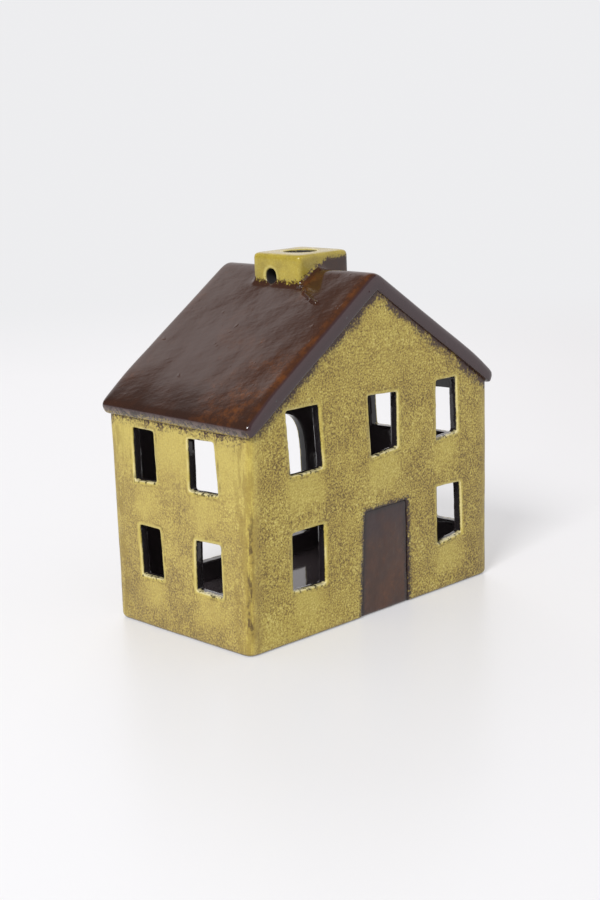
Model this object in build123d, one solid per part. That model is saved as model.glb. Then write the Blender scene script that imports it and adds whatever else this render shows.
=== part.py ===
"""Tealight house: a slab-built, glazed ceramic house with a tealight standing inside.

X runs along the gabled front, Y from the front to the back, Z up.
The origin is on the table, under the middle of the ridge. All lengths are in millimetres.
"""
from build123d import *
from math import atan2, cos, sin, tan
import os

# Roof: two slabs that meet in a rounded ridge, cut square to their slope at the eaves
roof_width = 136.0
roof_depth = 81.8
roof_thickness = 6.0
eave_height = 84.7
ridge_height = 130.8
ridge_radius = 5.0
eave_radius = 2.0
verge_radius = 1.2

# Walls: the gable walls lean out a little on their way up, the side walls lean in
foot_width = 132.8
foot_depth = 73.8
head_depth = 78.4
wall_thickness = 4.0
corner_radius = 3.2
floor_thickness = 5.0

# Windows of the front: two beside the door, three above
front_window_width = 15.2
front_window_height = 22.8
front_sill_height = 19.6
front_lintel_height = 5.4
front_window_pitch = 38.8
front_window_shift = 2.2
window_corner_radius = 1.0

# Windows of the side walls: two rows of two
side_window_width = 13.4
side_window_height = 19.4
side_sill_height = 19.6
side_lintel_height = 4.0
side_window_pitch = 32.2
left_window_shift = 1.3
right_window_shift = -1.0

# Door: a panel set into a shallow recess of the front
door_width = 25.0
door_height = 41.0
door_shift = 4.6
door_recess = 2.2
door_thickness = 1.7

# Opening of the back wall, where the tealight goes in over a lip
arch_width = 68.0
arch_top_height = 66.0
arch_corner_radius = 13.0
lip_height = 12.5

# Chimney: a hollow block astride the ridge, with a vent in its left face
chimney_width = 26.6
chimney_depth = 25.9
chimney_rise = 4.9
chimney_shift_x = 3.3
chimney_shift_y = 2.0
chimney_corner_radius = 2.6
chimney_top_radius = 2.2
flue_diameter = 12.4
flue_rim_bevel = 0.8
vent_diameter = 5.4
vent_rise = 3.2
vent_shift_y = 5.0

# Tealight: an aluminium cup, wax, and a wick held upright by a tin sustainer
cup_diameter = 38.0
cup_foot_diameter = 35.6
cup_height = 16.0
cup_wall = 0.5
cup_rim_overhang = 0.6
wax_height = 12.6
wick_diameter = 1.8
wick_length = 18.0
sustainer_diameter = 13.0
sustainer_thickness = 0.5
neck_diameter = 3.6
neck_height = 3.2
tealight_x = 23.5
tealight_standoff = 0.6

# Room that the loose pieces have, and how far a cut runs past what it cuts
loose_gap = 0.3
rest_gap = 0.2
wick_gap = 0.1
overrun = 2.0

# Worked out from the sizes above
slope = atan2(ridge_height - eave_height, roof_width / 2)
head_width = roof_width - 2 * roof_thickness * sin(slope)
head_height = eave_height - roof_thickness * cos(slope)
ridge_underside = ridge_height - roof_thickness / cos(slope)
underside_span = ridge_underside / tan(slope)
gable_lean_share = (head_depth - foot_depth) / 2 / head_height
wall_cut = wall_thickness + abs(head_depth - foot_depth) + abs(head_width - foot_width) + overrun
chimney_top_height = ridge_height + chimney_rise
tealight_y = cup_diameter / 2 + tealight_standoff + wall_thickness - foot_depth / 2
cup_floor_height = floor_thickness + rest_gap
candle_height = cup_floor_height + cup_wall + rest_gap

across = Plane.XZ
along = Plane.YZ


def leaning_prism(plane, foot, head, run):
    """A block between two leaning faces, foot wide on the table and head wide at the eaves."""
    top = foot + (head - foot) * ridge_height / head_height
    outline = Polygon((-foot / 2, 0), (foot / 2, 0), (top / 2, ridge_height), (-top / 2, ridge_height), align=None)
    return extrude(plane * outline, amount=run, both=True)


def width_prism(inset):
    """What lies between the side walls' faces, at this inset from the outside."""
    return leaning_prism(across, foot_width - 2 * inset, head_width - 2 * inset, roof_depth)


def depth_prism(inset):
    """What lies between the gable walls' faces, at this inset from the outside."""
    return leaning_prism(along, foot_depth - 2 * inset, head_depth - 2 * inset, roof_width)


def make_roof():
    """Both roof slabs in one, with a rounded ridge, eaves and verges."""
    outline = make_face(
        Polyline(
            (0, ridge_height),
            (roof_width / 2, eave_height),
            (head_width / 2, head_height),
            (0, ridge_underside),
            (-head_width / 2, head_height),
            (-roof_width / 2, eave_height),
            close=True,
        )
    )
    outline = fillet(outline.vertices().sort_by(Axis.Y)[-1], ridge_radius)
    outline = fillet(outline.vertices().sort_by(Axis.X)[0], eave_radius)
    outline = fillet(outline.vertices().sort_by(Axis.X)[-1], eave_radius)
    roof = extrude(across * outline, amount=roof_depth / 2, both=True)
    verges = [e for face in roof.faces().filter_by(Axis.Y) for e in face.edges() if not on_underside(e)]
    return fillet(verges, verge_radius)


def underside_height(x):
    """Height of the roof slabs' underside, this far from the ridge."""
    return ridge_underside - abs(x) * tan(slope)


def on_underside(edge):
    """Whether an edge lies in the underside of the roof slabs."""
    middle = edge.position_at(0.5)
    return middle.Z < underside_height(middle.X) + verge_radius


def make_hull():
    """The filled form of the walls, with rounded corners, cut off under the roof slabs."""
    block = width_prism(0) & depth_prism(0)
    corners = [e for e in block.edges() if e.bounding_box().size.Z > head_height]
    block = fillet(corners, corner_radius)
    gable = Polygon((-underside_span, 0), (underside_span, 0), (0, ridge_underside), align=None)
    return block & extrude(across * gable, amount=roof_depth, both=True)


def window_cuts(face, columns, sills, width, height):
    """A cutter through one wall for each window, at these columns and sill heights."""
    pane = RectangleRounded(width, height, window_corner_radius)
    places = [Pos(x, sill + height / 2) for x in columns for sill in sills]
    return [extrude(face * place * pane, amount=wall_cut, both=True) for place in places]


def make_door(hull):
    """The door's panel, and the recess that it is set into."""
    lean = Plane(origin=(door_shift, -foot_depth / 2, 0), x_dir=(1, 0, 0), z_dir=(0, -1, -gable_lean_share))
    leaf = Rectangle(door_width, door_height + overrun, align=(Align.CENTER, Align.MIN))
    blank = lean * Pos(0, -overrun) * leaf
    recess = extrude(blank, amount=-door_recess) + extrude(blank, amount=overrun)
    panel = extrude(blank, amount=-door_recess) - extrude(blank, amount=door_thickness - door_recess)
    return panel & hull, recess


def make_front_wall(gables, recess):
    """The front gable wall: five windows and the recess of the door."""
    face = Plane(origin=(front_window_shift, -foot_depth / 2, 0), x_dir=(1, 0, 0), z_dir=(0, -1, 0))
    outer_edge = front_window_pitch + abs(front_window_shift) + front_window_width / 2
    upper_sill = underside_height(outer_edge) - front_lintel_height - front_window_height
    sizes = (front_window_width, front_window_height)
    outer = window_cuts(face, (-front_window_pitch, front_window_pitch), (front_sill_height, upper_sill), *sizes)
    middle = window_cuts(face, (0,), (upper_sill,), *sizes)
    return gables.solids().sort_by(Axis.Y)[0] - outer - middle - recess


def make_back_wall(gables):
    """The back gable wall, with its round-shouldered opening above a lip."""
    face = Plane(origin=(0, foot_depth / 2, 0), x_dir=(1, 0, 0), z_dir=(0, -1, 0))
    opening = Rectangle(arch_width, arch_top_height - lip_height, align=(Align.CENTER, Align.MIN))
    opening = fillet(opening.vertices().group_by(Axis.Y)[-1], arch_corner_radius)
    opening = fillet(opening.vertices().group_by(Axis.Y)[0], window_corner_radius)
    cut = extrude(face * Pos(0, lip_height) * opening, amount=wall_cut, both=True)
    return gables.solids().sort_by(Axis.Y)[-1] - cut


def make_side_wall(slab, side, shift):
    """A side wall with two rows of two windows; side is -1 on the left and 1 on the right."""
    face = Plane(origin=(side * foot_width / 2, shift, 0), x_dir=(0, 1, 0), z_dir=(1, 0, 0))
    columns = (-side_window_pitch / 2, side_window_pitch / 2)
    sills = (side_sill_height, head_height - side_lintel_height - side_window_height)
    return slab - window_cuts(face, columns, sills, side_window_width, side_window_height)


def make_chimney(roof, flue):
    """The chimney block, cut below to sit on the roof slabs, with its flue and vent."""
    height = chimney_top_height - eave_height
    block = Pos(chimney_shift_x, chimney_shift_y, eave_height) * Box(
        chimney_width, chimney_depth, height, align=(Align.CENTER, Align.CENTER, Align.MIN)
    )
    block = fillet(block.edges().filter_by(Axis.Z), chimney_corner_radius)
    block = fillet(block.faces().sort_by(Axis.Z)[-1].edges(), chimney_top_radius)
    block -= flue
    block = chamfer(block.faces().sort_by(Axis.Z)[-1].inner_wires()[0].edges(), flue_rim_bevel)
    face_x = chimney_shift_x - chimney_width / 2
    vent_height = ridge_height - abs(face_x) * tan(slope) + vent_rise
    vent = Pos(face_x, vent_shift_y, vent_height) * Rot(0, 90, 0) * Cylinder(vent_diameter / 2, chimney_width)
    filled = make_roof_and_below(roof)
    return (block - filled - vent).solids().sort_by(Axis.Z)[-1]


def make_roof_and_below(roof):
    """The roof with everything under it filled."""
    gable = Polygon((-underside_span, 0), (underside_span, 0), (0, ridge_underside), align=None)
    return roof + extrude(across * gable, amount=roof_depth / 2, both=True)


def make_cup():
    """The aluminium cup, a little wider at its rolled rim than at its foot."""
    foot = cup_foot_diameter / 2
    rim = cup_diameter / 2
    body = rim - cup_rim_overhang
    section = Polygon(
        (0, 0),
        (foot, 0),
        (body, cup_height - cup_wall),
        (rim, cup_height - cup_wall),
        (rim, cup_height),
        (body - cup_wall, cup_height),
        (foot - cup_wall, cup_wall),
        (0, cup_wall),
        align=None,
    )
    return Pos(tealight_x, tealight_y, cup_floor_height) * revolve(across * section, Axis.Z)


def make_wax():
    """The wax, cast round the wick and its sustainer."""
    foot = cup_foot_diameter / 2 - cup_wall - loose_gap
    edge = foot + (cup_diameter / 2 - cup_rim_overhang - cup_foot_diameter / 2) * wax_height / cup_height
    wick = wick_diameter / 2 + wick_gap
    neck = neck_diameter / 2 + wick_gap
    plate = sustainer_diameter / 2 + wick_gap
    plate_top = sustainer_thickness + wick_gap
    neck_top = sustainer_thickness + neck_height + wick_gap
    section = Polygon(
        (plate, 0),
        (foot, 0),
        (edge, wax_height),
        (wick, wax_height),
        (wick, neck_top),
        (neck, neck_top),
        (neck, plate_top),
        (plate, plate_top),
        align=None,
    )
    return Pos(tealight_x, tealight_y, candle_height) * revolve(across * section, Axis.Z)


def make_sustainer():
    """The tin plate under the wax, with the neck that grips the wick."""
    bore = wick_diameter / 2 + wick_gap
    section = Polygon(
        (bore, 0),
        (sustainer_diameter / 2, 0),
        (sustainer_diameter / 2, sustainer_thickness),
        (neck_diameter / 2, sustainer_thickness),
        (neck_diameter / 2, sustainer_thickness + neck_height),
        (bore, sustainer_thickness + neck_height),
        align=None,
    )
    return Pos(tealight_x, tealight_y, candle_height) * revolve(across * section, Axis.Z)


def make_wick():
    """The wick, from the sustainer's plate to its free end above the wax."""
    upright = (Align.CENTER, Align.CENTER, Align.MIN)
    return Pos(tealight_x, tealight_y, candle_height) * Cylinder(wick_diameter / 2, wick_length, align=upright)


def make_parts():
    """Every piece of the house and its tealight, by name."""
    hull = make_hull()
    gables = hull - depth_prism(wall_thickness)
    sides = ((hull & depth_prism(wall_thickness)) - width_prism(wall_thickness)).solids().sort_by(Axis.X)
    room = hull & depth_prism(wall_thickness) & width_prism(wall_thickness)
    door, recess = make_door(hull)
    roof = make_roof()
    flue_height = 2 * (chimney_top_height + overrun)
    flue = Pos(chimney_shift_x, chimney_shift_y) * Cylinder(flue_diameter / 2, flue_height)
    chimney = make_chimney(roof, flue)
    slabs = roof - flue
    return {
        "floor_slab": room.split(Plane.XY.offset(floor_thickness), keep=Keep.BOTTOM),
        "front_gable_wall": make_front_wall(gables, recess),
        "back_gable_wall": make_back_wall(gables),
        "left_wall": make_side_wall(sides[0], -1, left_window_shift),
        "right_wall": make_side_wall(sides[-1], 1, right_window_shift),
        "left_roof_slab": slabs.split(Plane.YZ, keep=Keep.BOTTOM),
        "right_roof_slab": slabs.split(Plane.YZ, keep=Keep.TOP),
        "chimney": chimney,
        "door_panel": door,
        "tealight_cup": make_cup(),
        "tealight_wax": make_wax(),
        "wick_sustainer": make_sustainer(),
        "wick": make_wick(),
    }


os.makedirs("parts", exist_ok=True)
for name, part in make_parts().items():
    export_step(part, f"parts/{name}.step")
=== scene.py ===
"""The tealight house, dressed: hand-cut ceramic walls and roof under two running glazes.

The walls, the roof with its chimney, the floor and the door are each one rule of distance,
worked out in Geometry Nodes and turned into a skin. All lengths are in metres.
"""
import bmesh
import bpy
import math
from mathutils import Matrix, Vector


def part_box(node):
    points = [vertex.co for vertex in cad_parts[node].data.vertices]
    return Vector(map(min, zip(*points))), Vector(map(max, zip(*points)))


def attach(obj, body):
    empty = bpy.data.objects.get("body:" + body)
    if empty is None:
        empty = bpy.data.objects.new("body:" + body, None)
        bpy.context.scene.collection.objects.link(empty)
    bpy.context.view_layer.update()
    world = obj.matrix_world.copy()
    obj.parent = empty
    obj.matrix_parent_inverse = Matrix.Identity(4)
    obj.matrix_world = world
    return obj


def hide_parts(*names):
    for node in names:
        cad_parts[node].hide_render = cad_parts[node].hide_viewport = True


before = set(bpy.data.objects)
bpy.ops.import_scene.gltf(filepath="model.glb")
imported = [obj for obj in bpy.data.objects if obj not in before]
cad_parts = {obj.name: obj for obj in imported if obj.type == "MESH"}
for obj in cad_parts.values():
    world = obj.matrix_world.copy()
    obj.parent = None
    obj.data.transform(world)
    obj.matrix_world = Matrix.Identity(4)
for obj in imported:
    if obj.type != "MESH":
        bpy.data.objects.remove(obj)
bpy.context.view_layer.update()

MM = 0.001

# Sizes of the house
ROOF_WIDTH = 136.0 * MM
ROOF_DEPTH = 81.8 * MM
ROOF_THICKNESS = 6.0 * MM
EAVE_HEIGHT = 84.7 * MM
RIDGE_HEIGHT = 130.8 * MM
FOOT_WIDTH = 132.8 * MM
FOOT_DEPTH = 73.8 * MM
HEAD_DEPTH = 78.4 * MM
WALL = 4.0 * MM
FLOOR = 5.0 * MM
WALL_CORNER = 3.2 * MM
ROOM_CORNER = 5.0 * MM
WINDOW_CORNER = 1.0 * MM
DOOR_CORNER = 1.6 * MM
DOOR_RECESS = 2.2 * MM
ARCH_CROWN = 13.0 * MM
ARCH_FOOT = 2.0 * MM
RIDGE_ROUND = 2.94 * MM
EAVE_ROUND = 2.6 * MM
CHIMNEY_X = 3.3 * MM
CHIMNEY_Y = 2.0 * MM
CHIMNEY_WIDTH = 26.6 * MM
CHIMNEY_DEPTH = 25.9 * MM
CHIMNEY_TOP = 135.7 * MM
FLUE_RADIUS = 6.2 * MM
VENT_RADIUS = 2.7 * MM
VENT_Y = 5.0 * MM
VENT_HEIGHT = 127.2 * MM
SLOPE = math.atan2(RIDGE_HEIGHT - EAVE_HEIGHT, ROOF_WIDTH / 2)
HEAD_WIDTH = ROOF_WIDTH - 2 * ROOF_THICKNESS * math.sin(SLOPE)
HEAD_HEIGHT = EAVE_HEIGHT - ROOF_THICKNESS * math.cos(SLOPE)
RIDGE_UNDERSIDE = RIDGE_HEIGHT - ROOF_THICKNESS / math.cos(SLOPE)

# Corners of the hand-cut openings in millimetres, from the top left round with the clock, seen from outside
FRONT_WINDOWS = {
    "upper_left": ((-47.2, 86.4), (-30.6, 86.2), (-28.5, 62.4), (-45.1, 62.4)),
    "upper_middle": ((-5.1, 85.3), (11.0, 84.3), (11.6, 62.7), (-3.3, 61.8)),
    "upper_right": ((33.1, 85.2), (44.9, 85.1), (46.4, 62.8), (33.6, 62.1)),
    "lower_left": ((-44.8, 41.5), (-28.3, 41.5), (-27.9, 18.7), (-44.5, 19.4)),
    "lower_right": ((33.7, 42.8), (48.0, 42.4), (49.5, 21.0), (34.8, 19.4)),
}
LEFT_WINDOWS = {
    "upper_back": ((25.1, 75.8), (12.8, 75.6), (11.9, 56.5), (24.3, 55.6)),
    "upper_front": ((-6.2, 75.5), (-20.5, 75.9), (-22.0, 56.7), (-6.6, 56.3)),
    "lower_back": ((22.8, 39.0), (10.9, 39.0), (9.5, 20.0), (21.9, 19.5)),
    "lower_front": ((-8.8, 38.4), (-22.6, 38.9), (-23.0, 19.5), (-8.6, 19.4)),
}
RIGHT_WINDOWS = {
    "upper_front": ((-24.0, 76.2), (-10.4, 75.8), (-10.0, 57.2), (-23.4, 57.5)),
    "upper_back": ((8.6, 75.4), (21.8, 75.7), (21.4, 55.6), (8.9, 55.9)),
    "lower_front": ((-24.4, 39.4), (-11.0, 39.0), (-10.6, 20.1), (-24.1, 20.5)),
    "lower_back": ((8.2, 38.9), (21.7, 38.6), (22.3, 19.0), (8.7, 19.4)),
}
DOOR = ((-7.0, 41.3), (16.6, 41.3), (17.6, -3.0), (-8.9, -3.0))
ARCH = ((-34.2, 66.0), (34.0, 65.6), (34.4, 12.4), (-33.8, 12.6))


class Field:
    """What a node tree works out at each point, with plain arithmetic written as nodes."""

    def __init__(self, tree, socket):
        self.tree = tree
        self.socket = socket

    def feed(self, slot, value):
        if isinstance(value, Field):
            self.tree.links.new(value.socket, slot)
        else:
            slot.default_value = value

    def make(self, kind, operation, *values):
        node = self.tree.nodes.new(kind)
        node.operation = operation
        for slot, value in zip(node.inputs, values):
            self.feed(slot, value)
        return node

    def math(self, operation, *values):
        return Field(self.tree, self.make("ShaderNodeMath", operation, self, *values).outputs[0])

    def __add__(self, other):
        return self.math("ADD", other)

    def __sub__(self, other):
        return self.math("SUBTRACT", other)

    def __mul__(self, other):
        return self.math("MULTIPLY", other)

    def __rsub__(self, other):
        return self.math("MULTIPLY_ADD", -1.0, other)

    def __neg__(self):
        return self.math("MULTIPLY", -1.0)

    def abs(self):
        return self.math("ABSOLUTE")

    def most(self, other, soft=0.0):
        return self.math("SMOOTH_MAX", other, soft) if soft else self.math("MAXIMUM", other)

    def least(self, other, soft=0.0):
        return self.math("SMOOTH_MIN", other, soft) if soft else self.math("MINIMUM", other)

    def along(self, direction):
        """The dot product of this vector with a direction."""
        return Field(self.tree, self.make("ShaderNodeVectorMath", "DOT_PRODUCT", self, direction).outputs["Value"])

    def plus(self, other):
        return Field(self.tree, self.make("ShaderNodeVectorMath", "ADD", self, other).outputs["Vector"])

    def less(self, other):
        return Field(self.tree, self.make("ShaderNodeVectorMath", "SUBTRACT", self, other).outputs["Vector"])

    def times(self, amount):
        node = self.tree.nodes.new("ShaderNodeVectorMath")
        node.operation = "SCALE"
        self.feed(node.inputs[0], self)
        self.feed(node.inputs["Scale"], amount)
        return Field(self.tree, node.outputs["Vector"])

    def of(self, vector):
        """This share of a vector."""
        node = self.tree.nodes.new("ShaderNodeVectorMath")
        node.operation = "SCALE"
        node.inputs[0].default_value = vector
        self.feed(node.inputs["Scale"], self)
        return Field(self.tree, node.outputs["Vector"])

    def length(self):
        return Field(self.tree, self.make("ShaderNodeVectorMath", "LENGTH", self).outputs["Value"])

    def parts(self):
        """The x, y and z of this vector."""
        node = self.tree.nodes.new("ShaderNodeSeparateXYZ")
        self.feed(node.inputs[0], self)
        return [Field(self.tree, out) for out in node.outputs]

    def noise(self, scale, detail=2.0, rough=0.5, output="Fac"):
        node = self.tree.nodes.new("ShaderNodeTexNoise")
        self.feed(node.inputs["Vector"], self)
        node.inputs["Scale"].default_value = scale
        node.inputs["Detail"].default_value = detail
        node.inputs["Roughness"].default_value = rough
        return Field(self.tree, node.outputs[output])

    def rise(self, low, high):
        """Goes softly from 0 to 1 as this value goes from low to high."""
        node = self.tree.nodes.new("ShaderNodeMapRange")
        node.interpolation_type = "SMOOTHSTEP"
        self.feed(node.inputs["Value"], self)
        self.feed(node.inputs["From Min"], low)
        self.feed(node.inputs["From Max"], high)
        return Field(self.tree, node.outputs["Result"])

    def tint(self, before, after):
        """The colour that this share of the way from one colour to another gives."""
        node = self.tree.nodes.new("ShaderNodeMix")
        node.data_type = "RGBA"
        self.feed(node.inputs[0], self)
        for slot, colour in ((node.inputs[6], before), (node.inputs[7], after)):
            self.feed(slot, colour if isinstance(colour, Field) else (*colour, 1.0))
        return Field(self.tree, node.outputs[2])

    def tint_by(self, share, colour):
        """This colour, taken a fixed share of the way to another."""
        node = self.tree.nodes.new("ShaderNodeMix")
        node.data_type = "RGBA"
        node.inputs[0].default_value = share
        self.feed(node.inputs[6], self)
        node.inputs[7].default_value = (*colour, 1.0)
        return Field(self.tree, node.outputs[2])

    def ramp(self, *stops):
        """The colour that this value finds on a strip of colours."""
        node = self.tree.nodes.new("ShaderNodeValToRGB")
        self.feed(node.inputs[0], self)
        strip = node.color_ramp.elements
        while len(strip) < len(stops):
            strip.new(1.0)
        for element, (position, colour) in zip(strip, stops):
            element.position = position
            element.color = (*colour, 1.0)
        return Field(self.tree, node.outputs["Color"])

    def wander(self, size, amount):
        """This point, moved a little by noise with features of this size."""
        shift = self.noise(1.0 / size, 2.0, 0.5, "Color").less((0.5, 0.5, 0.5))
        return self.plus(shift.times(amount))


def soft(radius):
    """The blend distance whose rounding comes near to this radius on a square edge."""
    return 1.76 * radius


def beyond(where, through, normal):
    """How far a point lies outside a flat face."""
    out = Vector(normal).normalized()
    return where.along(tuple(out)) - out.dot(Vector(through))


def outside_pane(where, corners, axis, flip, radius, foot_radius=0.0):
    """How far a point lies outside a hand-cut opening, whose corners are given in the wall's plane."""
    sides = []
    for (u0, v0), (u1, v1) in zip(corners, corners[1:] + corners[:1]):
        normal = Vector((0.0, 0.0, (u1 - u0) * flip))
        normal[axis] = -(v1 - v0) * flip
        through = Vector((0.0, 0.0, v0 * MM))
        through[axis] = u0 * MM
        sides.append(beyond(where, through, normal))
    wide = sides[1].most(sides[3])
    return wide.most(sides[0], soft(radius)).most(sides[2], soft(foot_radius or radius))


def any_of(fields):
    """The nearest of several shapes."""
    nearest = fields[0]
    for field in fields[1:]:
        nearest = nearest.least(field)
    return nearest


GABLE_LEAN = (HEAD_DEPTH - FOOT_DEPTH) / 2 / HEAD_HEIGHT
SIDE_LEAN = (HEAD_WIDTH - FOOT_WIDTH) / 2 / HEAD_HEIGHT


def beyond_front(where):
    return beyond(where, (0.0, -FOOT_DEPTH / 2, 0.0), (0.0, -1.0, -GABLE_LEAN))


def beyond_walls(where, inset, radius):
    """How far a point lies outside the four leaning walls, at this inset from their outer faces."""
    gables, sides = beyond_pairs(where)
    return gables.most(sides, soft(radius)) + inset


def beyond_pairs(where):
    """How far a point lies outside the gable walls, and how far outside the side walls."""
    back = beyond(where, (0.0, FOOT_DEPTH / 2, 0.0), (0.0, 1.0, -GABLE_LEAN))
    left = beyond(where, (-FOOT_WIDTH / 2, 0.0, 0.0), (-1.0, 0.0, -SIDE_LEAN))
    right = beyond(where, (FOOT_WIDTH / 2, 0.0, 0.0), (1.0, 0.0, -SIDE_LEAN))
    return beyond_front(where).most(back), left.most(right)


def above_roof_plane(where, ridge, radius):
    """How far a point lies above the two slopes that meet at a ridge of this height."""
    rise = math.cos(SLOPE)
    run = math.sin(SLOPE)
    left = beyond(where, (0.0, 0.0, ridge), (-run, 0.0, rise))
    right = beyond(where, (0.0, 0.0, ridge), (run, 0.0, rise))
    return left.most(right, soft(radius))


def hand_built(where):
    """A point of the walls or the floor, moved as hand-built clay swells and sinks."""
    return where.wander(30 * MM, 0.9 * MM)


def outside_door(where):
    """How far a point lies outside the hand-cut outline of the door."""
    return outside_pane(where.wander(6 * MM, 0.7 * MM), DOOR, 0, 1.0, DOOR_CORNER)


def wall_rule(where):
    """The four walls with their windows, the recess of the door and the opening of the back."""
    uneven = hand_built(where)
    ragged = where.wander(5 * MM, 0.35 * MM)
    across, deep, high = where.parts()
    outer = beyond_walls(uneven, 0.0, WALL_CORNER)
    room = beyond_walls(uneven, WALL, ROOM_CORNER)
    under_roof = above_roof_plane(where, RIDGE_UNDERSIDE, 0.0)
    shell = outer.most(-room, soft(0.3 * MM))
    shell = shell.most(under_roof - 0.4 * MM).most(-high, soft(1.6 * MM))
    openings = []
    below = []
    rows = (
        (FRONT_WINDOWS, 0, 1.0, deep, 15 * MM),
        (LEFT_WINDOWS, 1, -1.0, across, 50 * MM),
        (RIGHT_WINDOWS, 1, 1.0, -across, 50 * MM),
    )
    for windows, axis, flip, inward, reach in rows:
        for corners in windows.values():
            openings.append(outside_pane(ragged, corners, axis, flip, WINDOW_CORNER).most(inward + reach))
            below.append(outside_pane(where, drop(corners), axis, flip, 3.0 * MM).most(inward))
    arch = outside_pane(ragged, ARCH, 0, 1.0, ARCH_CROWN, ARCH_FOOT).most(15 * MM - deep)
    opening = any_of(openings + [arch])
    cut = shell.most(-opening, soft(0.45 * MM))
    recess = outside_door(where).most(-(beyond_front(uneven) + DOOR_RECESS))
    whole = cut.most(-recess, soft(0.4 * MM))
    return whole, {"depth": -outer, "opening": opening, "below": any_of(below)}


def drop(corners):
    """A patch under a window, as wide as the window."""
    sill = min(v for _, v in corners)
    left = min(u for u, _ in corners)
    right = max(u for u, _ in corners)
    if corners[0][0] > corners[1][0]:
        left, right = right, left
    top = sill + 4
    bottom = sill - 13
    return ((left, top), (right, top), (right, bottom), (left, bottom))


# A run of glaze down from the chimney's foot: start, end and radius of each length, in millimetres
GLAZE_RUN = (
    ((-10.6, -10.9, 124.3), (-10.5, -11.6, 124.3), 0.9),
    ((-10.8, -13.4, 123.6), (-12.5, -15.3, 122.5), 0.75),
    ((-12.5, -15.3, 122.5), (-15.4, -21.9, 120.5), 0.6),
    ((-15.4, -21.9, 120.5), (-16.4, -25.2, 119.8), 0.65),
)


def near_line(where, start, end):
    """How far a point lies from a straight length between two points, given in millimetres."""
    start = Vector(start) * MM
    way = Vector(end) * MM - start
    share = where.less(tuple(start)).along(tuple(way / way.length_squared)).most(0.0).least(1.0)
    return where.less(tuple(start)).less(share.of(tuple(way))).length()


def outside_round(across, along, radius):
    """How far a point lies outside a round hole, from how far it is off the hole's middle each way."""
    return (across * across + along * along).math("SQRT") - radius


def roof_rule(where):
    """Both roof slabs in one with the chimney, its flue and its vent."""
    uneven = where.wander(30 * MM, 0.5 * MM)
    across, deep, high = uneven.parts()
    roll = across.abs().rise(ROOF_WIDTH / 2 - 16 * MM, ROOF_WIDTH / 2 + 10 * MM) * (2.0 * MM)
    top = above_roof_plane(uneven, RIDGE_HEIGHT, RIDGE_ROUND) + roll
    under = above_roof_plane(where, RIDGE_UNDERSIDE, 0.0)
    run = math.cos(SLOPE)
    fall = math.sin(SLOPE)
    eave_reach = ROOF_WIDTH / 2 * run - EAVE_HEIGHT * fall + 0.7 * MM
    eaves = across.abs() * run - high * fall - eave_reach
    verges = deep.abs() - ROOF_DEPTH / 2 - 0.1 * MM
    slabs = top.most(eaves, soft(EAVE_ROUND)).most(verges, soft(EAVE_ROUND))
    slabs = slabs.most(-under, soft(0.7 * MM))
    from_flue_x = across - CHIMNEY_X
    from_flue_y = deep - CHIMNEY_Y
    stack = (from_flue_x.abs() - CHIMNEY_WIDTH / 2).most(from_flue_y.abs() - CHIMNEY_DEPTH / 2, soft(2.2 * MM))
    stack = stack.most(high - CHIMNEY_TOP, soft(1.7 * MM)).most(-under)
    whole = slabs.least(stack, soft(1.6 * MM))
    for start, end, thick in GLAZE_RUN:
        whole = whole.least(near_line(where, start, end) - thick * MM, soft(0.4 * MM))
    flue = outside_round(from_flue_x, from_flue_y, FLUE_RADIUS)
    vent = outside_round(deep - VENT_Y, high - VENT_HEIGHT, VENT_RADIUS).most(from_flue_x)
    opening = flue.least(vent)
    whole = whole.most(-opening, soft(0.9 * MM))
    return whole, {"above_slab": top, "opening": opening, "stack": stack, "under": under, "eave": -eaves}


def floor_rule(where):
    """The floor slab between the walls."""
    high = where.parts()[2]
    slab = beyond_walls(hand_built(where), WALL - 0.3 * MM, ROOM_CORNER)
    slab = slab.most(high - FLOOR, soft(0.5 * MM)).most(0.3 * MM - high)
    return slab, {}


def door_rule(where):
    """The panel of the door, set back in its recess."""
    panel = outside_door(where) - 0.15 * MM
    back = beyond_front(hand_built(where)) + 2.4 * MM
    face = beyond_front(where.wander(9 * MM, 0.5 * MM)) + 0.5 * MM
    high = where.parts()[2]
    slab = panel.most(face, soft(0.5 * MM)).most(-back).most(0.1 * MM - high, soft(1.2 * MM))
    return slab, {"door": panel}


def grown(name, tree, sizes):
    """The plain mesh that a tree makes with these sizes."""
    piece = bpy.data.objects.new(name, bpy.data.meshes.new(name))
    bpy.context.scene.collection.objects.link(piece)
    maker = piece.modifiers.new("maker", "NODES")
    maker.node_group = tree
    for socket, value in sizes.items():
        maker[socket.identifier] = value
    mesh = bpy.data.meshes.new_from_object(piece.evaluated_get(bpy.context.evaluated_depsgraph_get()))
    piece.modifiers.remove(maker)
    piece.data = mesh
    return piece


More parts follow.
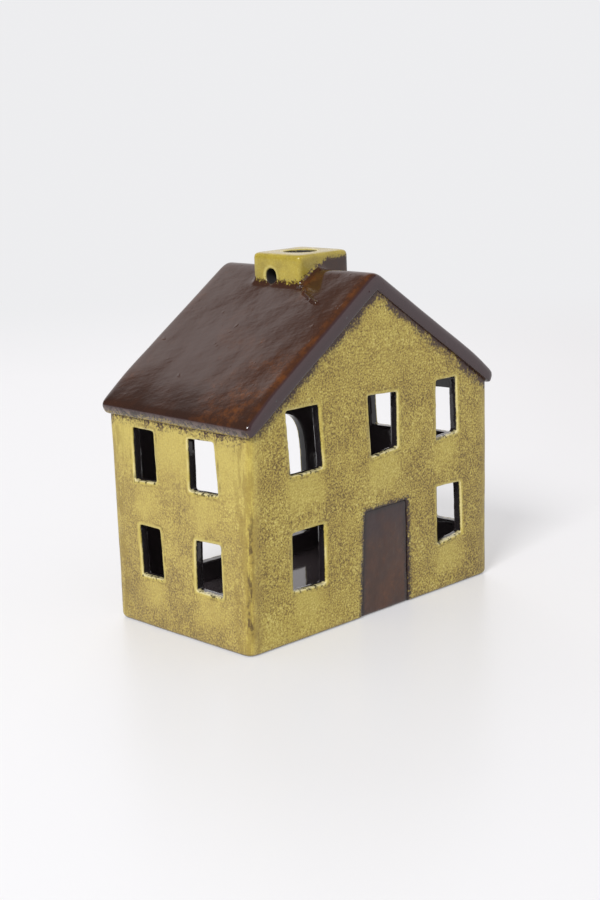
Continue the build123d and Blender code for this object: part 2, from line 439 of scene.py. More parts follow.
def skin(name, rule, low, high, grain, merge, material):
    """The skin of a rule of distance, as a plain mesh with its marks kept on the points."""
    tree = bpy.data.node_groups.new(name, "GeometryNodeTree")
    size = tree.interface.new_socket("Grain", in_out="INPUT", socket_type="NodeSocketFloat")
    merge_flat = tree.interface.new_socket("Merge Flat Parts", in_out="INPUT", socket_type="NodeSocketFloat")
    tree.interface.new_socket("Geometry", in_out="OUTPUT", socket_type="NodeSocketGeometry")
    given = tree.nodes.new("NodeGroupInput")
    result = tree.nodes.new("NodeGroupOutput")
    where = Field(tree, tree.nodes.new("GeometryNodeInputPosition").outputs[0])
    normal = Field(tree, tree.nodes.new("GeometryNodeInputNormal").outputs[0])
    distance, marks = rule(where)
    cube = tree.nodes.new("GeometryNodeVolumeCube")
    cube.inputs["Background"].default_value = -1.0
    cube.inputs["Min"].default_value = low
    cube.inputs["Max"].default_value = high
    grain_field = Field(tree, given.outputs["Grain"])
    for axis, a, b in zip("XYZ", low, high):
        count = Field(tree, grain_field.make("ShaderNodeMath", "DIVIDE", b - a, grain_field).outputs[0])
        tree.links.new(count.socket, cube.inputs["Resolution " + axis])
    tree.links.new((-distance).socket, cube.inputs["Density"])
    mesher = tree.nodes.new("GeometryNodeVolumeToMesh")
    mesher.inputs["Threshold"].default_value = 0.0
    tree.links.new(given.outputs["Merge Flat Parts"], mesher.inputs["Adaptivity"])
    tree.links.new(cube.outputs[0], mesher.inputs["Volume"])
    flow = mesher.outputs[0]
    for _ in range(2):
        settle = tree.nodes.new("GeometryNodeSetPosition")
        tree.links.new(flow, settle.inputs["Geometry"])
        tree.links.new(normal.times(-distance).socket, settle.inputs["Offset"])
        flow = settle.outputs[0]
    for mark, field in marks.items():
        keep = tree.nodes.new("GeometryNodeStoreNamedAttribute")
        keep.data_type = "FLOAT"
        keep.domain = "POINT"
        keep.inputs["Name"].default_value = mark
        tree.links.new(flow, keep.inputs["Geometry"])
        tree.links.new(field.socket, keep.inputs["Value"])
        flow = keep.outputs[0]
    smooth = tree.nodes.new("GeometryNodeSetShadeSmooth")
    real = tree.nodes.new("GeometryNodeRealizeInstances")
    finish = tree.nodes.new("GeometryNodeSetMaterial")
    finish.inputs["Material"].default_value = material
    tree.links.new(flow, smooth.inputs["Geometry"])
    tree.links.new(smooth.outputs[0], real.inputs[0])
    tree.links.new(real.outputs[0], finish.inputs["Geometry"])
    tree.links.new(finish.outputs[0], result.inputs["Geometry"])
    return grown(name, tree, {size: grain, merge_flat: merge})


def new_glaze(name):
    """A fresh material: its tree, its shader, the place on the piece and a reader of the piece's marks."""
    material = bpy.data.materials.new(name)
    material.use_nodes = True
    tree = material.node_tree
    place = Field(tree, tree.nodes.new("ShaderNodeTexCoord").outputs["Object"])

    def mark(of):
        node = tree.nodes.new("ShaderNodeAttribute")
        node.attribute_type = "GEOMETRY"
        node.attribute_name = of
        return Field(tree, node.outputs["Fac"])

    return material, tree, place, mark


def apply_glaze(tree, colour, rough, height):
    """Gives the shader its colour, roughness and bumps; height is in millimetres."""
    shader = tree.nodes["Principled BSDF"]
    shader.inputs["IOR"].default_value = 1.52
    tree.links.new(colour.socket, shader.inputs["Base Color"])
    tree.links.new(rough.socket, shader.inputs["Roughness"])
    bump = tree.nodes.new("ShaderNodeBump")
    bump.inputs["Strength"].default_value = 1.0
    bump.inputs["Distance"].default_value = MM
    tree.links.new(height.socket, bump.inputs["Height"])
    tree.links.new(bump.outputs["Normal"], shader.inputs["Normal"])


# Colours of the glazes
SPECK = (0.128, 0.078, 0.012)
BARK = (0.250, 0.170, 0.028)
OLIVE = (0.385, 0.281, 0.052)
YELLOW = (0.50, 0.400, 0.082)
RIM = (0.68, 0.585, 0.19)
UMBER = (0.042, 0.0165, 0.0095)
PLUM_SHEEN = (0.046, 0.026, 0.029)
RUST = (0.20, 0.062, 0.011)
SOOT = (0.017, 0.0145, 0.0160)
INNER_WITH_SHEEN = (0.058, 0.046, 0.050)
ROOM_FLOOR_WITH_SHEEN = (0.085, 0.068, 0.073)
WHITE_SHEEN = (0.64, 0.61, 0.58)
DARK_RUN = (0.085, 0.047, 0.010)
CREAM_LIP_AND_GLINT = (0.80, 0.71, 0.36)
CREAM_SILL_HIGHLIGHT = (0.72, 0.66, 0.45)
DOOR_FRINGE = (0.020, 0.011, 0.012)
DOOR_HEAD = (0.026, 0.013, 0.016)
DOOR_BORDER_SHADE = (0.016, 0.009, 0.010)
POOLED_BROWN = (0.020, 0.0105, 0.0085)
EAVE_SHEEN_DARK = (0.030, 0.018, 0.015)
EAVE_SHEEN_PALE = (0.115, 0.078, 0.068)
CHIMNEY_DEEP = (0.270, 0.203, 0.024)
CHIMNEY_PALE = (0.390, 0.297, 0.033)
SPILT_MUSTARD = (0.36, 0.265, 0.062)
CLAY_DARK = (0.30, 0.22, 0.15)
CLAY_PALE = (0.38, 0.29, 0.21)
BACKDROP = (0.85, 0.85, 0.865)


def mustard_coat(place, calm, heavy=0.0, quiet=0.0):
    """The speckled mustard glaze: its colour and its specks.

    It has few specks where it is calm, many where it is heavy, and faint ones where it is quiet.
    """
    clouds = place.noise(52.0, 3.0, 0.55).rise(0.30, 0.68)
    drift = place.noise(210.0, 3.0, 0.6).rise(0.3, 0.7)
    dense = (clouds * 0.7 + drift * 0.3 + heavy) * (1.0 - calm * 0.85)
    grain = place.noise(1420.0, 1.0, 0.5)
    fine = place.noise(2600.0, 1.0, 0.5)
    tone = grain * 1.5 + fine * 0.9
    shade = (tone - 1.2) * (1.0 - calm * 0.5 - quiet) + 0.60 - dense * 0.26 + calm * 0.11
    colour = shade.ramp((0.10, SPECK), (0.30, BARK), (0.50, OLIVE), (0.72, YELLOW), (1.0, RIM))
    return colour, tone


def brown_coat(place, thin):
    """The dark brown glaze: its colour and its grain; thin is where it breaks to rust."""
    clouds = place.noise(40.0, 4.0, 0.6)
    grain = place.noise(420.0, 3.0, 0.6)
    worn = (thin + clouds.rise(0.5, 0.8) * 0.22 + grain.rise(0.5, 0.8) * 0.16).rise(0.0, 1.0)
    return worn.tint(UMBER, RUST), grain


def frayed(place):
    """Three noises that fray an edge of glaze: fine, slow and gritty, each round nothing."""
    fine = place.noise(700.0, 3.0, 0.65) - 0.5
    slow = place.noise(140.0, 2.0, 0.5) - 0.5
    gritty = place.noise(1300.0, 2.0, 0.6) - 0.5
    return fine, slow, gritty


def stretched(tree, place, scale, kind="POINT", turn=0.0):
    """The place on a piece, stretched and turned round the upright for runs and brush marks."""
    node = tree.nodes.new("ShaderNodeMapping")
    node.vector_type = kind
    node.inputs["Rotation"].default_value = (0.0, 0.0, turn)
    node.inputs["Scale"].default_value = scale
    tree.links.new(place.socket, node.inputs["Vector"])
    return Field(tree, node.outputs["Vector"])


def clear_of_ends(high):
    """One over the middle height of a wall, and nothing near its head and foot."""
    return high.rise(0.004, 0.012) * (1.0 - high.rise(0.040, 0.062))


def make_wall_glaze():
    """Speckled mustard, browned under the roof and round the door, and dark in the openings and the room."""
    material, tree, place, mark = new_glaze("mustard_glaze")
    depth = mark("depth")
    opening = mark("opening")
    ragged, slow, gritty = frayed(place)
    across, deep, high = place.parts()
    side = across.abs().rise(0.058, 0.064)
    # Brown from the roof, round the door and at the foot
    under = -above_roof_plane(place, RIDGE_UNDERSIDE, 0.0)
    under = under + side * MM - ragged * (6.0 * MM) - slow * (8.0 * MM) - gritty * (9.0 * MM)
    browned = 1.0 - under.rise(0.2 * MM, 3.9 * MM)
    at_door = outside_pane(place, DOOR, 0, 1.0, DOOR_CORNER).most(deep)
    at_door = at_door - ragged * (4.0 * MM) - gritty * (6.0 * MM)
    fringe = 1.0 - at_door.rise(0.1 * MM, 2.4 * MM)
    browned = browned.most(fringe)
    foot = high - ragged * (1.2 * MM)
    browned = browned.most((1.0 - foot.rise(0.1 * MM, 1.0 * MM)) * 0.8)
    # Calm and heavy parts of the mustard
    rim = 1.0 - (opening - ragged * MM).rise(0.5 * MM, 2.2 * MM)
    gables, sides = beyond_pairs(place)
    corner = -gables.least(sides) - ragged * MM
    below = mark("below")
    calm = rim.most((1.0 - corner.rise(2.0 * MM, 5.0 * MM)) * 0.45)
    low_left = (1.0 - (high + slow * (8.0 * MM)).rise(4.0 * MM, 16.0 * MM)) * (1.0 - across.rise(-0.034, -0.008))
    calm = calm.most(low_left * (1.0 - side) * 0.55)
    patch = (below - slow * (9.0 * MM) - ragged * (4.0 * MM)).rise(-4.0 * MM, 3.0 * MM)
    calm = calm.most((1.0 - patch) * (0.9 - side * 0.35))
    heads = high.rise(0.048, 0.070) * (1.0 - high.rise(0.078, 0.084)) * side
    calm = calm.most(heads * 0.75)
    heavy = across.rise(0.010, 0.060) * (0.28 - high.rise(0.034, 0.060) * 0.20)
    heavy = heavy.most(side * (1.0 - high.rise(0.018, 0.046)) * 0.36)
    calm = calm.most(high.rise(0.086, 0.110) * (1.0 - side) * 0.35)
    colour, specks = mustard_coat(place, calm, heavy, side * 0.35)
    # Streaks and dark runs beside the corners
    drawn_down = stretched(tree, place, (1.0, 1.0, 0.22))
    runs = drawn_down.noise(650.0, 3.0, 0.6).rise(0.42, 0.58)
    edge = 1.0 - (corner - slow * MM).rise(1.2 * MM, 3.0 * MM)
    # Painted sheen: the side walls, away from their corners, a little paler and greyer, as if mirroring a white
    # room
    colour = (side * (1.0 - edge) * 0.035).tint(colour, WHITE_SHEEN)
    streaks = drawn_down.noise(480.0, 2.0, 0.6).rise(0.42, 0.56)
    streaks = streaks * (1.0 - corner.rise(4.0 * MM, 11.0 * MM)) * side
    colour = (streaks * 0.55).tint(colour, BARK)
    line = (corner - 1.3 * MM - gritty * (1.2 * MM) - slow * MM).abs()
    runs = runs * (1.0 - line.rise(0.1 * MM, 1.0 * MM)) * clear_of_ends(high)
    runs = runs * place.noise(190.0, 2.0, 0.6).rise(0.44, 0.54)
    colour = (runs * 0.9).tint(colour, DARK_RUN)
    # Dark halo of the openings, and their cream lip, partly glaze thinning over the edge and partly a painted
    # highlight
    halo = 1.0 - (opening - 1.5 * MM - slow * MM).abs().rise(0.1 * MM, 0.7 * MM)
    colour = (halo * place.noise(330.0, 2.0, 0.5).rise(0.45, 0.65) * 0.6).tint(colour, SPECK)
    lip_and_glint = 1.0 - (opening - ragged * (0.4 * MM)).rise(0.2 * MM, 0.8 * MM)
    lip_and_glint = lip_and_glint * place.noise(150.0, 2.0, 0.5).rise(0.35, 0.65)
    colour = (lip_and_glint * 0.5).tint(colour, CREAM_LIP_AND_GLINT)
    brown, _ = brown_coat(place, 0.0 - slow)
    brown = (fringe * 0.7).tint(brown, DOOR_FRINGE)
    colour = browned.tint(colour, brown)
    # Dark inside, dribbled sills with a painted highlight on their upward faces, and the room
    dribble = (1.0 - below.rise(-1.0 * MM, 0.5 * MM)) * place.noise(620.0, 3.0, 0.6).rise(0.47, 0.60)
    dribble = dribble * (1.0 - opening.rise(0.5 * MM, 1.4 * MM))
    inside = (depth - ragged * (0.8 * MM)).rise(0.45 * MM, 0.9 * MM).most(dribble * 0.85)
    facing = Field(tree, tree.nodes.new("ShaderNodeNewGeometry").outputs["Normal"]).parts()[2]
    outer_part = 1.0 - (depth - ragged * MM).rise(1.3 * MM, 2.4 * MM)
    # Painted highlight: cream on the upward-facing outer part of each sill
    sill = facing.rise(0.35, 0.75) * outer_part * high.rise(0.014, 0.016) * (1.0 - dribble)
    # Painted reflection: the walls of the room a lighter purple-grey than the black of the jambs
    room_side = depth.rise(3.0 * MM, 3.8 * MM).tint(SOOT, INNER_WITH_SHEEN)
    colour = (inside * (1.0 - sill)).tint(colour, room_side)
    colour = (sill * 0.5).tint(colour, CREAM_SILL_HIGHLIGHT)
    matt = place.noise(420.0, 2.0, 0.5) * 0.16
    rough = inside.math("MULTIPLY_ADD", -0.20, 0.30) + matt * (1.0 - inside)
    height = place.noise(260.0, 2.0, 0.5) * 0.12 + specks * 0.06 * (1.0 - inside)
    apply_glaze(tree, colour, rough, height)
    return material


def make_roof_glaze():
    """Dark brown that breaks to rust, with the mustard of the chimney running into it."""
    material, tree, place, mark = new_glaze("brown_glaze")
    across, deep, high = place.parts()
    ragged, slow, gritty = frayed(place)
    above = mark("above_slab") + ragged * (3.0 * MM) + slow * (2.0 * MM) + gritty * (4.0 * MM)
    yellow = above.rise(0.9 * MM, 2.1 * MM) * (1.0 - mark("stack").rise(0.2 * MM, 0.8 * MM))
    smear = high - across.rise(-5.0 * MM, 4.5 * MM) * (8.4 * MM) + ragged * (2.5 * MM) + gritty * (4.0 * MM)
    smear = (1.0 - smear.rise(124.4 * MM, 125.4 * MM)) * (0.0 - deep).rise(9.0 * MM, 10.5 * MM)
    yellow = yellow * (1.0 - smear)
    # Rust along the verge, low on the front and at the foot of the chimney
    verge = (ROOF_DEPTH / 2) - deep.abs()
    line = 1.0 - (verge - 2.8 * MM - slow * (2.5 * MM)).abs().rise(0.2 * MM, 2.6 * MM)
    line = line * place.noise(300.0, 4.0, 0.65).rise(0.40, 0.66) * 0.24
    line = line + (1.0 - verge.rise(2.0 * MM, 14.0 * MM)) * 0.14
    low = (1.0 - high.rise(0.088, 0.113)) * (0.0 - deep).rise(-0.008, 0.034)
    base = (1.0 - mark("stack").rise(0.5 * MM, 9.0 * MM)) * place.noise(160.0, 2.0, 0.5).rise(0.4, 0.7)
    base = base * (0.0 - deep).rise(8.0 * MM, 13.0 * MM)
    rusty = place.noise(75.0, 4.0, 0.65).rise(0.42, 0.62)
    line = line * ((0.0 - deep).rise(-0.02, 0.02) * 0.8 + 0.2) * high.rise(0.090, 0.112)
    grainy = place.noise(640.0, 2.0, 0.6).rise(0.30, 0.62)
    thin = line + low * (rusty * grainy * 0.34 + 0.17) + base * 0.25
    brown, _ = brown_coat(place, thin)
    # Pooled brown above the eave, and a painted purple-grey sheen on the bands of the eave and the verge
    eave = mark("eave")
    pooled = (1.0 - eave.rise(1.0 * MM, 26.0 * MM)) * (1.0 - rusty * 0.7)
    brown = (pooled * 0.55).tint(brown, POOLED_BROWN)
    sheen_band = (1.0 - verge.rise(0.3 * MM, 1.6 * MM)).most(1.0 - eave.rise(0.3 * MM, 1.2 * MM))
    brown = sheen_band.tint(brown, PLUM_SHEEN)
    # Painted reflection on the face of the eave: dark and pale patches mottled together
    mottled_sheen = place.noise(520.0, 3.0, 0.65).rise(0.40, 0.60).tint(EAVE_SHEEN_DARK, EAVE_SHEEN_PALE)
    brown = (1.0 - eave.rise(0.2 * MM, 0.8 * MM)).tint(brown, mottled_sheen)
    # Mustard of the chimney, spilt mustard at the eave and the dark inside
    opening = mark("opening")
    rim = 1.0 - (opening - ragged * MM).rise(0.4 * MM, 2.0 * MM)
    mustard, specks = mustard_coat(place, rim.most(0.85))
    blotch = place.noise(150.0, 3.0, 0.6).rise(0.32, 0.68)
    mustard = blotch.tint(mustard.tint_by(0.75, CHIMNEY_DEEP), mustard.tint_by(0.75, CHIMNEY_PALE))
    # Paler mustard round the flue and the vent: partly glaze thinning over the edge, partly a painted highlight on
    # the lip
    mustard = (rim * 0.55).tint(mustard, RIM)
    colour = yellow.tint(brown, mustard)
    underside = mark("under")
    spill = underside - slow * (5.0 * MM) - ragged * (5.0 * MM) - gritty * (8.0 * MM)
    spill = (1.0 - spill.rise(0.2 * MM, 2.6 * MM)) * (1.0 - eave.rise(0.3 * MM, 0.9 * MM))
    colour = (spill * 0.8).tint(colour, SPILT_MUSTARD)
    inside = 1.0 - (opening - ragged * (0.3 * MM)).rise(0.0, 0.4 * MM)
    under = (underside - ragged * (0.8 * MM)).rise(-0.6 * MM, 0.2 * MM)
    colour = inside.most(1.0 - under).tint(colour, SOOT)
    # Brush marks, pimples and dimples
    brush = stretched(tree, place, (6.0, 1.0, 1.0), "TEXTURE", math.radians(-59.0)).noise(560.0, 3.0, 0.6)
    pimples = place.noise(330.0, 1.0, 0.4).rise(0.73, 0.83)
    rough = place.noise(90.0, 3.0, 0.6).math("MULTIPLY_ADD", 0.16, 0.05)
    rough = rough + yellow * 0.10 * (1.0 - inside) + inside * 0.65
    height = place.noise(36.0, 1.0, 0.4) * 0.55 + place.noise(85.0, 1.0, 0.4) * 0.18
    height = height + place.noise(260.0, 2.0, 0.5) * 0.06
    height = height + (brush * 0.040 + pimples * 0.06) * (1.0 - yellow)
    height = height + specks * yellow * 0.02
    apply_glaze(tree, colour, rough, height)
    return material


def make_door_glaze():
    """Brown, brushed downwards, darker at its head, and darker along its border from thicker glaze and painted
    shade in the recess.
    """
    material, tree, place, mark = new_glaze("door_glaze")
    ragged, _, gritty = frayed(place)
    shaded_border = (mark("door") - ragged * (3.0 * MM) - gritty * (2.0 * MM)).rise(-2.8 * MM, -0.6 * MM)
    brush = stretched(tree, place, (1.0, 1.0, 0.2)).noise(420.0, 3.0, 0.6)
    lighter = place.noise(110.0, 2.0, 0.5).rise(0.35, 0.7)
    brown, grain = brown_coat(place, brush.rise(0.35, 0.75) * 0.05 + lighter * 0.16 + 0.085)
    top = (place.parts()[2] + (lighter - 0.5) * (12.0 * MM)).rise(20.0 * MM, 40.0 * MM)
    colour = (top * 0.8).tint(brown, DOOR_HEAD)
    # Thicker glaze and painted shade along the border of the recess
    colour = (shaded_border * 0.85).tint(colour, DOOR_BORDER_SHADE)
    rough = place.noise(90.0, 3.0, 0.6).math("MULTIPLY_ADD", 0.15, 0.22)
    height = place.noise(160.0, 2.0, 0.5) * 0.15 + grain * 0.06 + brush * 0.06
    apply_glaze(tree, colour, rough, height)
    return material


def make_inner_glaze():
    """The dark glaze of the room's floor, painted a lighter purple-grey as reflection, over bare clay underneath.
    """
    material, tree, place, _ = new_glaze("dark_glaze")
    high = place.parts()[2]
    clay = 1.0 - high.rise(0.6 * MM, 1.2 * MM)
    sand = place.noise(900.0, 3.0, 0.6)
    # Painted reflection: the black floor glaze lifted to a purple-grey
    colour = clay.tint(ROOM_FLOOR_WITH_SHEEN, sand.rise(0.3, 0.7).tint(CLAY_DARK, CLAY_PALE))
    rough = clay.math("MULTIPLY_ADD", 0.6, 0.05) + place.noise(120.0, 2.0, 0.5) * 0.06
    height = place.noise(60.0, 2.0, 0.5) * 0.16 + clay * sand * 0.05
    apply_glaze(tree, colour, rough, height)
    return material


def make_foil():
    """Bright drawn aluminium, with faint rings from the drawing."""
    material, tree, place, _ = new_glaze("cup_aluminium")
    shader = tree.nodes["Principled BSDF"]
    shader.inputs["Metallic"].default_value = 1.0
    scuffs = place.noise(600.0, 3.0, 0.6)
    rings = (place.parts()[2] * 5200.0 + place.noise(90.0, 2.0, 0.5) * 3.0).math("SINE")
    colour = scuffs.rise(0.35, 0.75).tint((0.80, 0.81, 0.83), (0.66, 0.67, 0.69))
    rough = scuffs.math("MULTIPLY_ADD", 0.2, 0.14)
    apply_glaze(tree, colour, rough, rings * 0.004 + place.noise(140.0, 2.0, 0.5) * 0.12)
    return material


def make_wax_look():
    """White wax, cloudy, with a few pinholes and a soft skin."""
    material, tree, place, _ = new_glaze("wax")
    shader = tree.nodes["Principled BSDF"]
    shader.inputs["Subsurface Weight"].default_value = 0.35
    shader.inputs["Subsurface Radius"].default_value = (0.004, 0.003, 0.002)
    shader.inputs["Subsurface Scale"].default_value = 1.0
    clouds = place.noise(170.0, 4.0, 0.6)
    holes = place.noise(900.0, 1.0, 0.4).rise(0.72, 0.78)
    colour = clouds.rise(0.3, 0.7).tint((0.82, 0.79, 0.70), (0.88, 0.86, 0.79))
    rough = clouds.math("MULTIPLY_ADD", 0.2, 0.28)
    apply_glaze(tree, colour, rough, clouds * 0.12 - holes * 0.12)
    return material


def make_cotton():
    """Waxed cotton, with fine fibres along the strands."""
    material, tree, place, _ = new_glaze("wick_cotton")
    fibres = place.noise(4200.0, 3.0, 0.6)
    colour = fibres.rise(0.3, 0.7).tint((0.60, 0.55, 0.44), (0.82, 0.79, 0.70))
    rough = fibres.math("MULTIPLY_ADD", 0.2, 0.6)
    apply_glaze(tree, colour, rough, fibres * 0.06)
    return material


def make_tin():
    """Dull tinned sheet with fine scratches."""
    material, tree, place, _ = new_glaze("tin")
    tree.nodes["Principled BSDF"].inputs["Metallic"].default_value = 1.0
    scratches = place.noise(1600.0, 4.0, 0.7)
    colour = scratches.rise(0.3, 0.7).tint((0.62, 0.62, 0.60), (0.48, 0.48, 0.46))
    rough = scratches.math("MULTIPLY_ADD", 0.25, 0.22)
    apply_glaze(tree, colour, rough, scratches * 0.01)
    return material


def turned(name, outline, base, steps, flutes, material):
    """A turned piece: an outline of radius, height and fluting, in millimetres, carried round an upright axis."""
    bm = bmesh.new()
    rings = []
    for step in range(steps):
        turn = 2 * math.pi * step / steps
        ring = []
        for radius, height, depth in outline:
            reach = (radius + depth * math.cos(flutes * turn)) * MM
            around = Vector((reach * math.cos(turn), reach * math.sin(turn), height * MM))
            ring.append(bm.verts.new(base + around))
        rings.append(ring)
    count = len(outline)
    for step, ring in enumerate(rings):
        after = rings[(step + 1) % steps]
        for k in range(count):
            n = (k + 1) % count
            bm.faces.new((ring[k], after[k], after[n], ring[n]))
    bmesh.ops.remove_doubles(bm, verts=bm.verts, dist=1e-7)
    bmesh.ops.dissolve_degenerate(bm, edges=bm.edges, dist=1e-8)
    bmesh.ops.recalc_face_normals(bm, faces=bm.faces)
    mesh = bpy.data.meshes.new(name)
    bm.to_mesh(mesh)
    bm.free()
    for face in mesh.polygons:
        face.use_smooth = True
    mesh.materials.append(material)
    piece = bpy.data.objects.new(name, mesh)
    bpy.context.scene.collection.objects.link(piece)
    return piece


CUP_OUTLINE = (
    (0.0, 0.30, 0), (9.0, 0.30, 0), (9.6, 0.0, 0), (14.6, 0.0, 0), (15.2, 0.25, 0), (16.0, 0.25, 0), (16.6, 0.0, 0),
    (17.2, 0.0, 0), (17.65, 0.15, 0), (17.8, 0.6, 0), (17.84, 1.4, 0.05), (18.1, 7.0, 0.09), (18.34, 13.6, 0.09),
    (18.40, 14.9, 0.03), (18.5, 15.25, 0), (18.8, 15.3, 0), (19.0, 15.55, 0), (19.0, 15.8, 0), (18.8, 16.0, 0),
    (18.45, 15.98, 0), (18.15, 15.7, 0), (18.05, 14.9, 0.03), (17.98, 13.6, 0.09), (17.74, 7.0, 0.09),
    (17.44, 1.4, 0.05), (17.3, 0.75, 0), (16.9, 0.5, 0), (9.0, 0.5, 0), (0.0, 0.5, 0),
)
WAX_OUTLINE = (
    (6.6, 0.0, 0), (16.6, 0.0, 0), (16.95, 0.12, 0), (17.06, 0.5, 0), (17.25, 6.0, 0), (17.45, 11.9, 0),
    (17.42, 12.6, 0), (17.2, 12.88, 0), (16.8, 12.8, 0), (16.0, 12.58, 0), (14.0, 12.47, 0), (9.0, 12.42, 0),
    (4.5, 12.34, 0), (2.4, 12.18, 0), (1.5, 12.25, 0), (1.0, 12.55, 0), (1.0, 3.9, 0), (1.9, 3.8, 0),
    (1.9, 0.6, 0), (6.6, 0.6, 0),
)
SUSTAINER_OUTLINE = (
    (1.0, 0.0, 0), (5.9, 0.0, 0), (6.35, 0.05, 0), (6.5, 0.25, 0), (6.35, 0.45, 0), (5.9, 0.5, 0), (2.3, 0.5, 0),
    (1.95, 0.62, 0), (1.8, 1.0, 0), (1.75, 3.4, 0), (1.6, 3.7, 0), (1.15, 3.7, 0), (1.0, 3.5, 0),
)


STRAND_RADIUS = 0.42 * MM
TWIST_RADIUS = 0.46 * MM


def twisted_wick(name, base, length, material):
    """Three cotton strands twisted round each other, up from the sustainer."""
    tree = bpy.data.node_groups.new(name, "GeometryNodeTree")
    strand = tree.interface.new_socket("Strand Radius", in_out="INPUT", socket_type="NodeSocketFloat")
    tall = tree.interface.new_socket("Length", in_out="INPUT", socket_type="NodeSocketFloat")
    tree.interface.new_socket("Geometry", in_out="OUTPUT", socket_type="NodeSocketGeometry")
    given = tree.nodes.new("NodeGroupInput")
    result = tree.nodes.new("NodeGroupOutput")
    helix = tree.nodes.new("GeometryNodeCurveSpiral")
    helix.inputs["Resolution"].default_value = 14
    helix.inputs["Rotations"].default_value = 5.0
    helix.inputs["Start Radius"].default_value = TWIST_RADIUS
    helix.inputs["End Radius"].default_value = TWIST_RADIUS
    tree.links.new(given.outputs["Length"], helix.inputs["Height"])
    round_bar = tree.nodes.new("GeometryNodeCurvePrimitiveCircle")
    round_bar.inputs["Resolution"].default_value = 10
    tree.links.new(given.outputs["Strand Radius"], round_bar.inputs["Radius"])
    sweep = tree.nodes.new("GeometryNodeCurveToMesh")
    sweep.inputs["Fill Caps"].default_value = True
    tree.links.new(helix.outputs[0], sweep.inputs["Curve"])
    tree.links.new(round_bar.outputs[0], sweep.inputs["Profile Curve"])
    join = tree.nodes.new("GeometryNodeJoinGeometry")
    for k in range(3):
        place = tree.nodes.new("GeometryNodeTransform")
        place.inputs["Translation"].default_value = base
        place.inputs["Rotation"].default_value = (0.0, 0.0, 2 * math.pi * k / 3)
        tree.links.new(sweep.outputs[0], place.inputs["Geometry"])
        tree.links.new(place.outputs[0], join.inputs[0])
    smooth = tree.nodes.new("GeometryNodeSetShadeSmooth")
    real = tree.nodes.new("GeometryNodeRealizeInstances")
    finish = tree.nodes.new("GeometryNodeSetMaterial")
    finish.inputs["Material"].default_value = material
    tree.links.new(join.outputs[0], smooth.inputs["Geometry"])
    tree.links.new(smooth.outputs[0], real.inputs[0])
    tree.links.new(real.outputs[0], finish.inputs["Geometry"])
    tree.links.new(finish.outputs[0], result.inputs["Geometry"])
    return grown(name, tree, {strand: STRAND_RADIUS, tall: length})


def foot_of(node):
    """The middle of a node's underside."""
    low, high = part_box(node)
    return Vector(((low.x + high.x) / 2, (low.y + high.y) / 2, low.z))


def place_house():
    """The fired house: walls, roof with chimney, floor and door."""
    rows = (
        ("house_walls", wall_rule, (-0.070, -0.042, -0.002), (0.070, 0.042, 0.1265), 0.48 * MM, 0.006,
         make_wall_glaze(), "mustard_glaze", ("front_gable_wall", "back_gable_wall", "left_wall", "right_wall")),
        ("house_roof", roof_rule, (-0.070, -0.043, 0.076), (0.070, 0.043, 0.139), 0.5 * MM, 0.004,
         make_roof_glaze(), "brown_glaze", ("left_roof_slab", "right_roof_slab", "chimney")),
        ("house_floor", floor_rule, (-0.069, -0.041, -0.002), (0.069, 0.041, 0.008), 1.2 * MM, 0.0,
         make_inner_glaze(), "dark_glaze", ("floor_slab",)),
        ("house_door", door_rule, (-0.011, -0.042, -0.002), (0.021, -0.031, 0.044), 0.5 * MM, 0.0,
         make_door_glaze(), "brown_glaze", ("door_panel",)),
    )
    for name, rule, low, high, grain, merge, glaze, slot, nodes in rows:
        piece = skin(name, rule, low, high, grain, merge, glaze)
        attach(piece, "house")
        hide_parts(*nodes)


def place_tealight():
    """The tealight: its cup, and the candle of wax, wick and sustainer that lifts out of it."""
    cup = turned("tealight_foil_cup", CUP_OUTLINE, foot_of("tealight_cup"), 144, 48, make_foil())
    wax = turned("candle_wax", WAX_OUTLINE, foot_of("tealight_wax"), 96, 0, make_wax_look())
    plate = turned("candle_sustainer", SUSTAINER_OUTLINE, foot_of("wick_sustainer"), 48, 0, make_tin())
    low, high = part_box("wick")
    wick = twisted_wick("candle_wick", foot_of("wick"), high.z - low.z, make_cotton())
    rows = ((cup, "tealight", "tealight_cup", "cup_aluminium"), (wax, "candle", "tealight_wax", "wax"),
            (plate, "candle", "wick_sustainer", "tin"), (wick, "candle", "wick", "wick_cotton"))
    for piece, body, node, slot in rows:
        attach(piece, body)
        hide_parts(node)


# Camera: place in millimetres, yaw, pitch and roll in radians, and the focal length in pixels of the photograph
CAMERA_PLACE = (-424.924, -434.216, 195.599)
CAMERA_TURN = (0.7715966530, 0.2216829287, 0.0357032740)
FOCAL_PIXELS = 1599.3832
PHOTO_HEIGHT = 900.0
SENSOR_HEIGHT = 36.0


def point_camera():
    """The camera where the photograph was taken from."""
    yaw, pitch, roll = CAMERA_TURN
    ahead = Vector((math.sin(yaw) * math.cos(pitch), math.cos(yaw) * math.cos(pitch), -math.sin(pitch)))
    level = Vector((math.cos(yaw), -math.sin(yaw), 0.0))
    down = ahead.cross(level)
    right = math.cos(roll) * level + math.sin(roll) * down
    down = -math.sin(roll) * level + math.cos(roll) * down
    lens = bpy.data.cameras.new("camera")
    lens.sensor_fit = "VERTICAL"
    lens.sensor_height = SENSOR_HEIGHT
    lens.lens = FOCAL_PIXELS * SENSOR_HEIGHT / PHOTO_HEIGHT
    lens.clip_start = 0.01
    camera = bpy.data.objects.new("camera", lens)
    bpy.context.scene.collection.objects.link(camera)
    turn = Matrix((right, -down, -ahead)).transposed().to_4x4()
    camera.matrix_world = Matrix.Translation(Vector(CAMERA_PLACE) * MM) @ turn
    bpy.context.scene.camera = camera


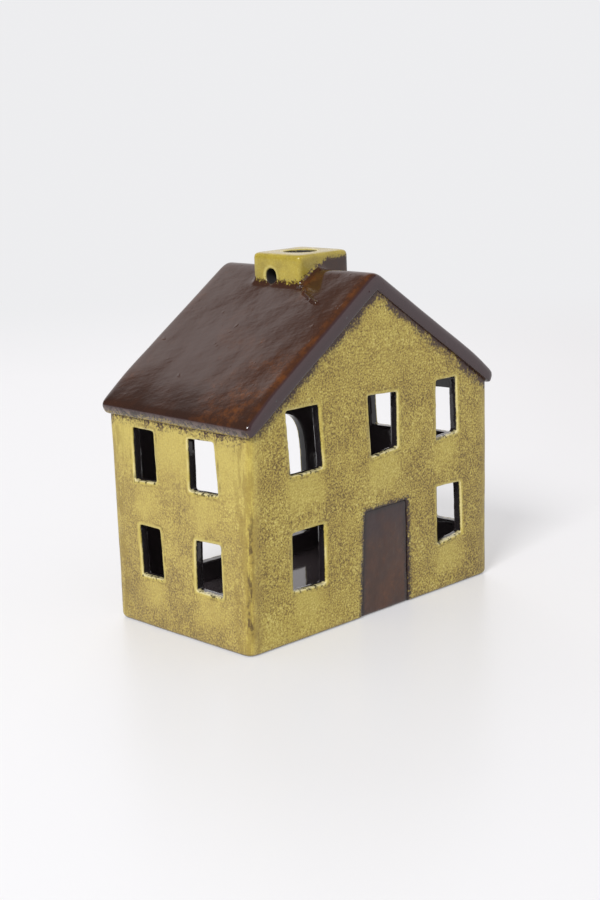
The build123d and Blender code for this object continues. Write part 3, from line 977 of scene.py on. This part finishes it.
def light_panel(name, place, aim, size, power, colour=(1.0, 1.0, 1.0)):
    """A soft square lamp."""
    data = bpy.data.lights.new(name, "AREA")
    data.shape = "SQUARE"
    data.size = size
    data.energy = power
    data.color = colour
    lamp = bpy.data.objects.new(name, data)
    bpy.context.scene.collection.objects.link(lamp)
    lamp.location = place
    lamp.rotation_euler = (Vector(aim) - Vector(place)).to_track_quat("-Z", "Y").to_euler()
    return lamp


def lay_floor():
    """The pale floor, painted darker towards the right of the view, which fades into the backdrop far away."""
    bm = bmesh.new()
    bmesh.ops.create_grid(bm, x_segments=1, y_segments=1, size=6.0)
    mesh = bpy.data.meshes.new("studio_floor")
    bm.to_mesh(mesh)
    bm.free()
    ground = bpy.data.objects.new("studio_floor", mesh)
    bpy.context.scene.collection.objects.link(ground)
    paper = bpy.data.materials.new("studio_paper")
    paper.use_nodes = True
    nodes = paper.node_tree.nodes
    links = paper.node_tree.links
    shader = nodes["Principled BSDF"]
    shader.inputs["Roughness"].default_value = 0.33
    place = Field(paper.node_tree, nodes.new("ShaderNodeTexCoord").outputs["Object"])
    # Painted shade: the floor and its glow darker towards the right of the view
    shaded = place.along((0.717, -0.697, 0.0)).rise(0.0, 0.26)
    links.new(shaded.tint((0.838, 0.833, 0.850), (0.775, 0.765, 0.778)).socket, shader.inputs["Base Color"])
    fade = place.length().rise(0.28, 1.0)
    path = nodes.new("ShaderNodeLightPath")
    seen = Field(paper.node_tree, path.outputs["Is Camera Ray"])
    seen = seen.most(Field(paper.node_tree, path.outputs["Is Glossy Ray"]))
    far = fade.most(0.30) * seen
    glow = nodes.new("ShaderNodeEmission")
    near = shaded.tint((0.862, 0.858, 0.875), (0.805, 0.792, 0.803))
    links.new(fade.tint(near, BACKDROP).socket, glow.inputs["Color"])
    blend = nodes.new("ShaderNodeMixShader")
    links.new(far.socket, blend.inputs[0])
    links.new(shader.outputs[0], blend.inputs[1])
    links.new(glow.outputs[0], blend.inputs[2])
    links.new(blend.outputs[0], nodes["Material Output"].inputs["Surface"])
    mesh.materials.append(paper)


def set_surroundings():
    """The pale backdrop that is seen, the soft light round it and the room that the glazes mirror."""
    world = bpy.data.worlds.new("studio")
    bpy.context.scene.world = world
    world.use_nodes = True
    world.cycles.sampling_method = "NONE"
    nodes = world.node_tree.nodes
    links = world.node_tree.links
    nodes.clear()
    out = nodes.new("ShaderNodeOutputWorld")
    mix = nodes.new("ShaderNodeMixShader")
    lit = nodes.new("ShaderNodeBackground")
    lit.inputs["Color"].default_value = (1.0, 1.0, 1.0, 1.0)
    lit.inputs["Strength"].default_value = 0.58
    seen = nodes.new("ShaderNodeBackground")
    seen.inputs["Color"].default_value = (*BACKDROP, 1.0)
    seen.inputs["Strength"].default_value = 1.0
    room = nodes.new("ShaderNodeBackground")
    way = Field(world.node_tree, nodes.new("ShaderNodeTexCoord").outputs["Generated"])
    eastward, _, upward = way.parts()
    bright = (1.0 - upward.rise(0.655, 0.735)) * eastward.rise(-0.10, 0.05)
    links.new(bright.tint((0.10, 0.10, 0.10), (0.95, 0.92, 0.93)).socket, room.inputs["Color"])
    mirrored = nodes.new("ShaderNodeMixShader")
    path = nodes.new("ShaderNodeLightPath")
    links.new(path.outputs["Is Glossy Ray"], mirrored.inputs[0])
    links.new(lit.outputs[0], mirrored.inputs[1])
    links.new(room.outputs[0], mirrored.inputs[2])
    shown = Field(world.node_tree, path.outputs["Is Camera Ray"])
    shown = shown.most(Field(world.node_tree, path.outputs["Is Transmission Ray"]))
    links.new(shown.socket, mix.inputs[0])
    links.new(mirrored.outputs[0], mix.inputs[1])
    links.new(seen.outputs[0], mix.inputs[2])
    links.new(mix.outputs[0], out.inputs["Surface"])


def hang_lamps():
    """The key lamp from the left, and a weak fill from behind."""
    light_panel("key", (-3.0, -1.2, 2.6), (0.0, 0.0, 0.05), 1.2, 136.0)
    fill = light_panel("fill", (1.7, 2.1, 1.5), (0.1, 0.15, 0.0), 1.6, 22.0)
    fill.visible_glossy = False


place_house()
place_tealight()
point_camera()
lay_floor()
set_surroundings()
hang_lamps()
bpy.context.scene.view_settings.view_transform = "Standard"
